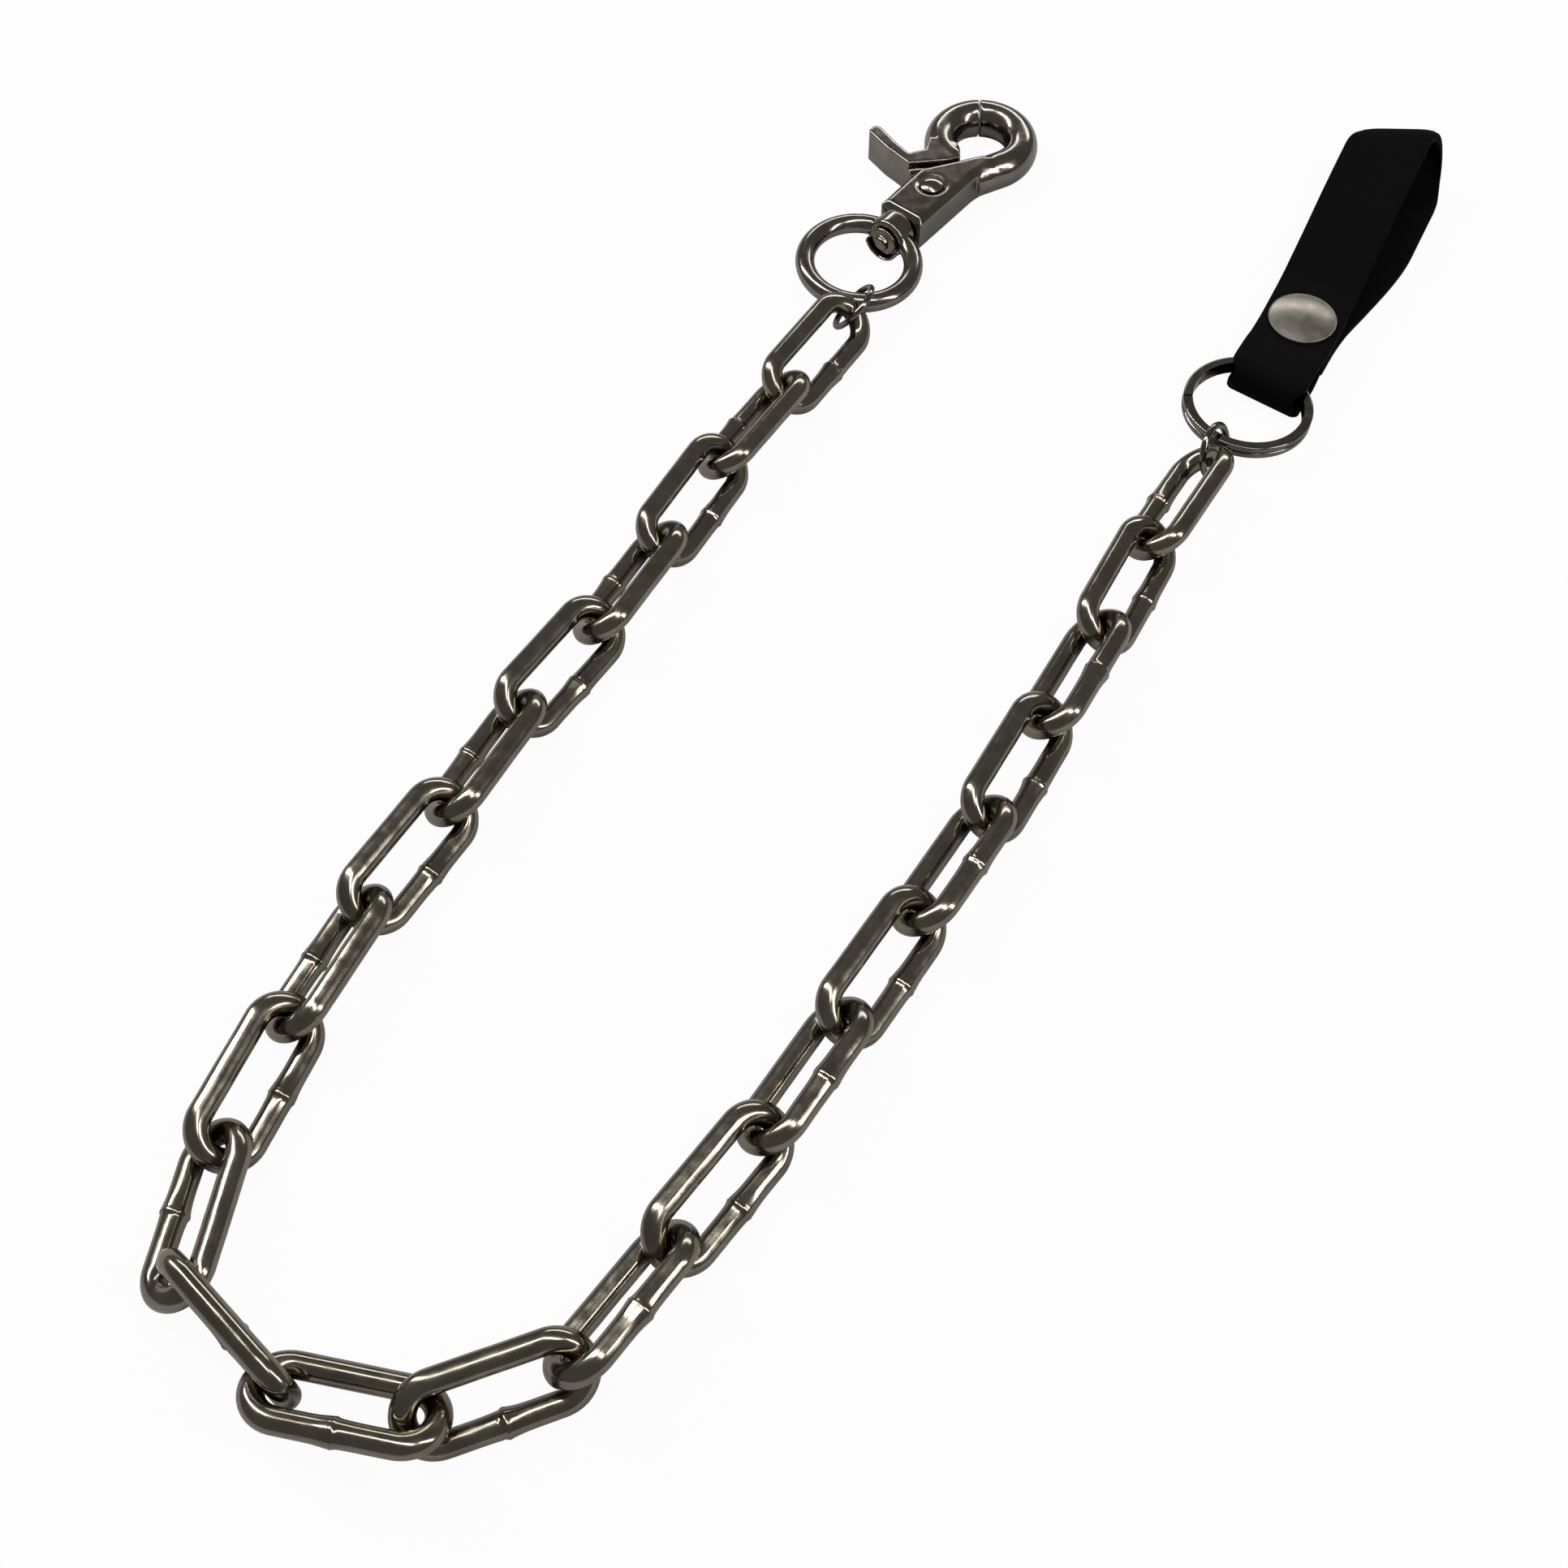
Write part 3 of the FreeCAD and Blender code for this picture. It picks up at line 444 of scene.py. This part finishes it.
def rounded_path(corners, step):
    """Points every step along a path of (x, z, radius) corners."""
    line = [Vector((x, z)) for x, z, _ in corners]
    dense = [line[0]]

    def straight_to(end):
        begin = dense[-1]
        pieces = max(1, round((end - begin).length / step))
        for i in range(1, pieces + 1):
            dense.append(begin.lerp(end, i / pieces))

    for i in range(1, len(line) - 1):
        before = (line[i] - line[i - 1]).normalized()
        after = (line[i + 1] - line[i]).normalized()
        turn = before.angle(after)
        radius = corners[i][2]
        cut = radius * math.tan(turn / 2)
        start = line[i] - before * cut
        straight_to(start)
        side = 1 if before.x * after.y - before.y * after.x > 0 else -1
        normal = Vector((-before.y, before.x)) * side
        centre = start + normal * radius
        pieces = max(2, round(radius * turn / step))
        for k in range(1, pieces + 1):
            a = turn * k / pieces
            dense.append(centre - normal * radius * math.cos(a) + before * radius * math.sin(a))
    straight_to(line[-1])
    return dense


def eased(value, begin, end):
    """0 before begin, 1 after end, smooth between them."""
    t = min(1.0, max(0.0, (value - begin) / (end - begin)))
    return t * t * (3 - 2 * t)


def skewed(x, y):
    """Oblique folds, shorter on the left, and a crown that falls back at its edges."""
    share = (y + STRAP_WIDTH / 2) / STRAP_WIDTH
    at_crown = eased(x, 48 * MM, 90 * MM)
    at_ring = 1 - eased(x, FOLD_END, 17 * MM)
    edge = (y / (STRAP_WIDTH / 2)) ** 6 * eased(x, 80 * MM, CROWN_X)
    return x + share * (RING_SKEW * at_ring - CROWN_SKEW * at_crown) - CROWN_CORNER * edge


def drift(x):
    """The strap lies slightly bent to the right of a straight line at the snap."""
    return -SNAP_DRIFT * eased(x, FOLD_END, SNAP_X) + CROWN_DRIFT * eased(x, SNAP_X, 80 * MM)


def leather_strip(name, centreline, lean, material):
    """Strip swept along a centreline in the strap frame, with rolled edges."""
    origin, along, left = strap_frame()
    up = Vector((0, 0, 1))
    half_t = LEATHER / 2
    rings = []
    for i, spot in enumerate(centreline):
        ahead = centreline[min(i + 1, len(centreline) - 1)]
        behind = centreline[max(i - 1, 0)]
        tangent = (ahead - behind).normalized()
        normal = Vector((-tangent.y, tangent.x))
        at_fold = 1 - eased(spot.x, FOLD_END, FOLD_END + 2.8 * MM)
        half_w = STRAP_WIDTH / 2 - FOLD_CORNER * at_fold
        ring = []
        for across, over in section(half_w, half_t):
            y = SIDE_SHIFT + lean(i) + drift(spot.x) + across
            flat = spot + normal * over
            x = skewed(flat.x, across)
            place = origin + along * x + left * y + up * flat.y
            ring.append(place)
        rings.append(ring)
    vertices, faces = tube(rings, False)
    count = len(rings[0])
    faces.append(tuple(reversed(range(count))))
    faces.append(tuple(range(len(vertices) - count, len(vertices))))
    piece = add_mesh(name, vertices, faces)
    piece.data.materials.append(material)
    return piece


def section(half_w, half_t):
    """Rounded rectangle, (across, over) points, anticlockwise from the right."""
    r = EDGE_ROUND
    points = []
    spans = 12
    for k in range(spans + 1):
        points.append((-half_w + r + (2 * half_w - 2 * r) * k / spans, -half_t))
    for k in range(1, 6):
        a = -math.pi / 2 + math.pi / 2 * k / 5
        points.append((half_w - r + r * math.cos(a), -half_t + r + r * math.sin(a)))
    for k in range(5):
        a = math.pi / 2 * k / 5
        points.append((half_w - r + r * math.cos(a), half_t - r + r * math.sin(a)))
    for k in range(spans + 1):
        points.append((half_w - r - (2 * half_w - 2 * r) * k / spans, half_t))
    for k in range(1, 6):
        a = math.pi / 2 + math.pi / 2 * k / 5
        points.append((-half_w + r + r * math.cos(a), half_t - r + r * math.sin(a)))
    for k in range(5):
        a = math.pi + math.pi / 2 * k / 5
        points.append((-half_w + r + r * math.cos(a), -half_t + r + r * math.sin(a)))
    return points


def lean_of_back(x):
    """Side shift of the back layer: full near the crown, none at the snap."""
    return -LEAN * eased(x, 24 * MM, 66 * MM)


def belt_loop(material):
    step = 0.6 * MM
    cap_start = SNAP_X - CAP_R
    cap_end = SNAP_X + CAP_R
    front = rounded_path(
        [
            (cap_end, FLAP_Z, 0),
            (cap_start + 0.4 * MM, FLAP_Z, 3 * MM),
            (FOOT_X, BACK_Z, 3 * MM),
            (FOLD_END, BACK_Z, FOLD_R),
            (FOLD_END, FOLD_TOP_Z, FOLD_R),
            (FOOT_X, FOLD_TOP_Z, 12 * MM),
            (cap_start - 0.8 * MM, FRONT_Z, 6 * MM),
            (cap_end + 4 * MM, FRONT_Z, 30 * MM),
            (62 * MM, 12.65 * MM, 60 * MM),
            (CROWN_X, 17.45 * MM, 6.75 * MM),
            (CROWN_X, CROWN_Z, 0),
        ],
        step,
    )
    crown = rounded_path(
        [(CROWN_X, CROWN_Z, 0), (CROWN_X, BACK_Z, 7.65 * MM), (SEAM_X, BACK_Z, 0)], step
    )
    line = front + crown[1:]
    travelled = [0.0]
    for a, b in zip(line, line[1:]):
        travelled.append(travelled[-1] + (b - a).length)
    top = next(i for i, p in enumerate(line) if p.x > 84 * MM and p.y > 14 * MM)

    def lean(i):
        return lean_of_back(SEAM_X) * eased(travelled[i], travelled[top], travelled[-1])

    loop = leather_strip("leather_loop", line, lean, material)
    back = rounded_path(
        [
            (SEAM_X, BACK_Z, 0),
            (SNAP_X + 2 * CAP_R, BACK_Z, 40 * MM),
            (SNAP_X + CAP_R, 1.95 * MM, 20 * MM),
            (SNAP_X - TONGUE_PAST_SNAP, 1.95 * MM, 0),
        ],
        step,
    )
    tongue = leather_strip("leather_tongue", back, lambda i: lean_of_back(back[i].x), material)
    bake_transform(loop)
    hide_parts("strap")
    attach(tongue, "loop_tongue")
    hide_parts("strap_tongue")


# ---------------------------------------------------------------- stage
def build_floor():
    size = 2.5
    floor = add_mesh(
        "floor",
        [(-size, -size, 0), (size, -size, 0), (size, size, 0), (-size, size, 0)],
        [(0, 1, 2, 3)],
        smooth=False,
    )
    material = bpy.data.materials.new("floor_white")
    material.use_nodes = True
    tree = material.node_tree
    tree.nodes.clear()
    output = tree.nodes.new("ShaderNodeOutputMaterial")
    diffuse = tree.nodes.new("ShaderNodeBsdfDiffuse")
    diffuse.inputs["Color"].default_value = (0.5, 0.5, 0.5, 1)
    glow = tree.nodes.new("ShaderNodeEmission")
    glow.inputs["Strength"].default_value = 1.0
    path = tree.nodes.new("ShaderNodeLightPath")
    seen = tree.nodes.new("ShaderNodeMath")
    seen.operation = "MAXIMUM"
    tree.links.new(path.outputs["Is Camera Ray"], seen.inputs[0])
    tree.links.new(path.outputs["Is Transmission Ray"], seen.inputs[1])
    share = tree.nodes.new("ShaderNodeMath")
    share.operation = "MULTIPLY"
    share.inputs[1].default_value = 0.96
    tree.links.new(seen.outputs[0], share.inputs[0])
    mix = tree.nodes.new("ShaderNodeMixShader")
    tree.links.new(share.outputs[0], mix.inputs["Fac"])
    tree.links.new(diffuse.outputs[0], mix.inputs[1])
    tree.links.new(glow.outputs[0], mix.inputs[2])
    tree.links.new(mix.outputs[0], output.inputs["Surface"])
    floor.data.materials.append(material)


def soft_box(name, place, aim, size_x, size_y, power):
    data = bpy.data.lights.new(name, "AREA")
    data.shape = "RECTANGLE"
    data.size = size_x
    data.size_y = size_y
    data.energy = power
    lamp = bpy.data.objects.new(name, data)
    bpy.context.scene.collection.objects.link(lamp)
    lamp.location = place
    lamp.rotation_mode = "QUATERNION"
    lamp.rotation_quaternion = (Vector(aim) - Vector(place)).to_track_quat("-Z", "Y")
    return lamp


def build_light():
    soft_box("key", (-0.62, 0.42, 0.8), (0, 0, 0), 0.14, 0.9, 8.0)
    soft_box("fill", (0.75, -0.3, 0.6), (0, 0, 0), 0.1, 0.7, 3.5)
    soft_box("overhead", (0.12, -0.1, 1.1), (0, 0, 0), 0.13, 0.9, 4.0)
    soft_box("back", (0.2, 0.9, 0.45), (0, 0, 0), 1.0, 0.14, 2.5)
    world = bpy.data.worlds.new("studio")
    world.use_nodes = True
    background = world.node_tree.nodes["Background"]
    background.inputs["Color"].default_value = (0.97, 0.98, 1.0, 1)
    background.inputs["Strength"].default_value = 0.17
    bpy.context.scene.world = world


def build_camera():
    data = bpy.data.cameras.new("camera")
    data.lens = CAMERA_LENS
    data.sensor_width = 36.0
    data.clip_start = 0.01
    camera = bpy.data.objects.new("camera", data)
    bpy.context.scene.collection.objects.link(camera)
    tilt = math.radians(CAMERA_ELEVATION)
    back = Vector((0, -math.cos(tilt), math.sin(tilt)))
    camera.location = CAMERA_AIM + back * CAMERA_DISTANCE
    camera.rotation_mode = "QUATERNION"
    camera.rotation_quaternion = (-back).to_track_quat("-Z", "Y")
    bpy.context.scene.camera = camera


# ---------------------------------------------------------------- build
def dress_node(node, material):
    obj = frame["nodes"][node]
    obj.data.materials.clear()
    obj.data.materials.append(material)


def build():
    materials = make_materials()
    for number in range(1, 23):
        chain_link("link_%02d" % number, materials["link"])
    cast_piece("hook_body", "hook_casting", materials["cast"], 14)
    cast_piece("trigger", "trigger_casting", materials["cast"], 12)
    cast_piece("swivel_eye", "eye_casting", materials["cast"], 8)
    belt_loop(materials["leather"])
    dress_node("trigger_rivet", materials["cast"])
    dress_node("trigger_spring", materials["spring"])
    for node in ("jump_ring_hook", "jump_ring_strap", "split_ring"):
        dress_node(node, materials["ring"])
    for node in ("snap_cap", "snap_socket", "snap_stud", "snap_post"):
        dress_node(node, materials["satin"])
    build_floor()
    build_light()
    build_camera()
    bpy.context.scene.view_settings.view_transform = "Standard"


build()
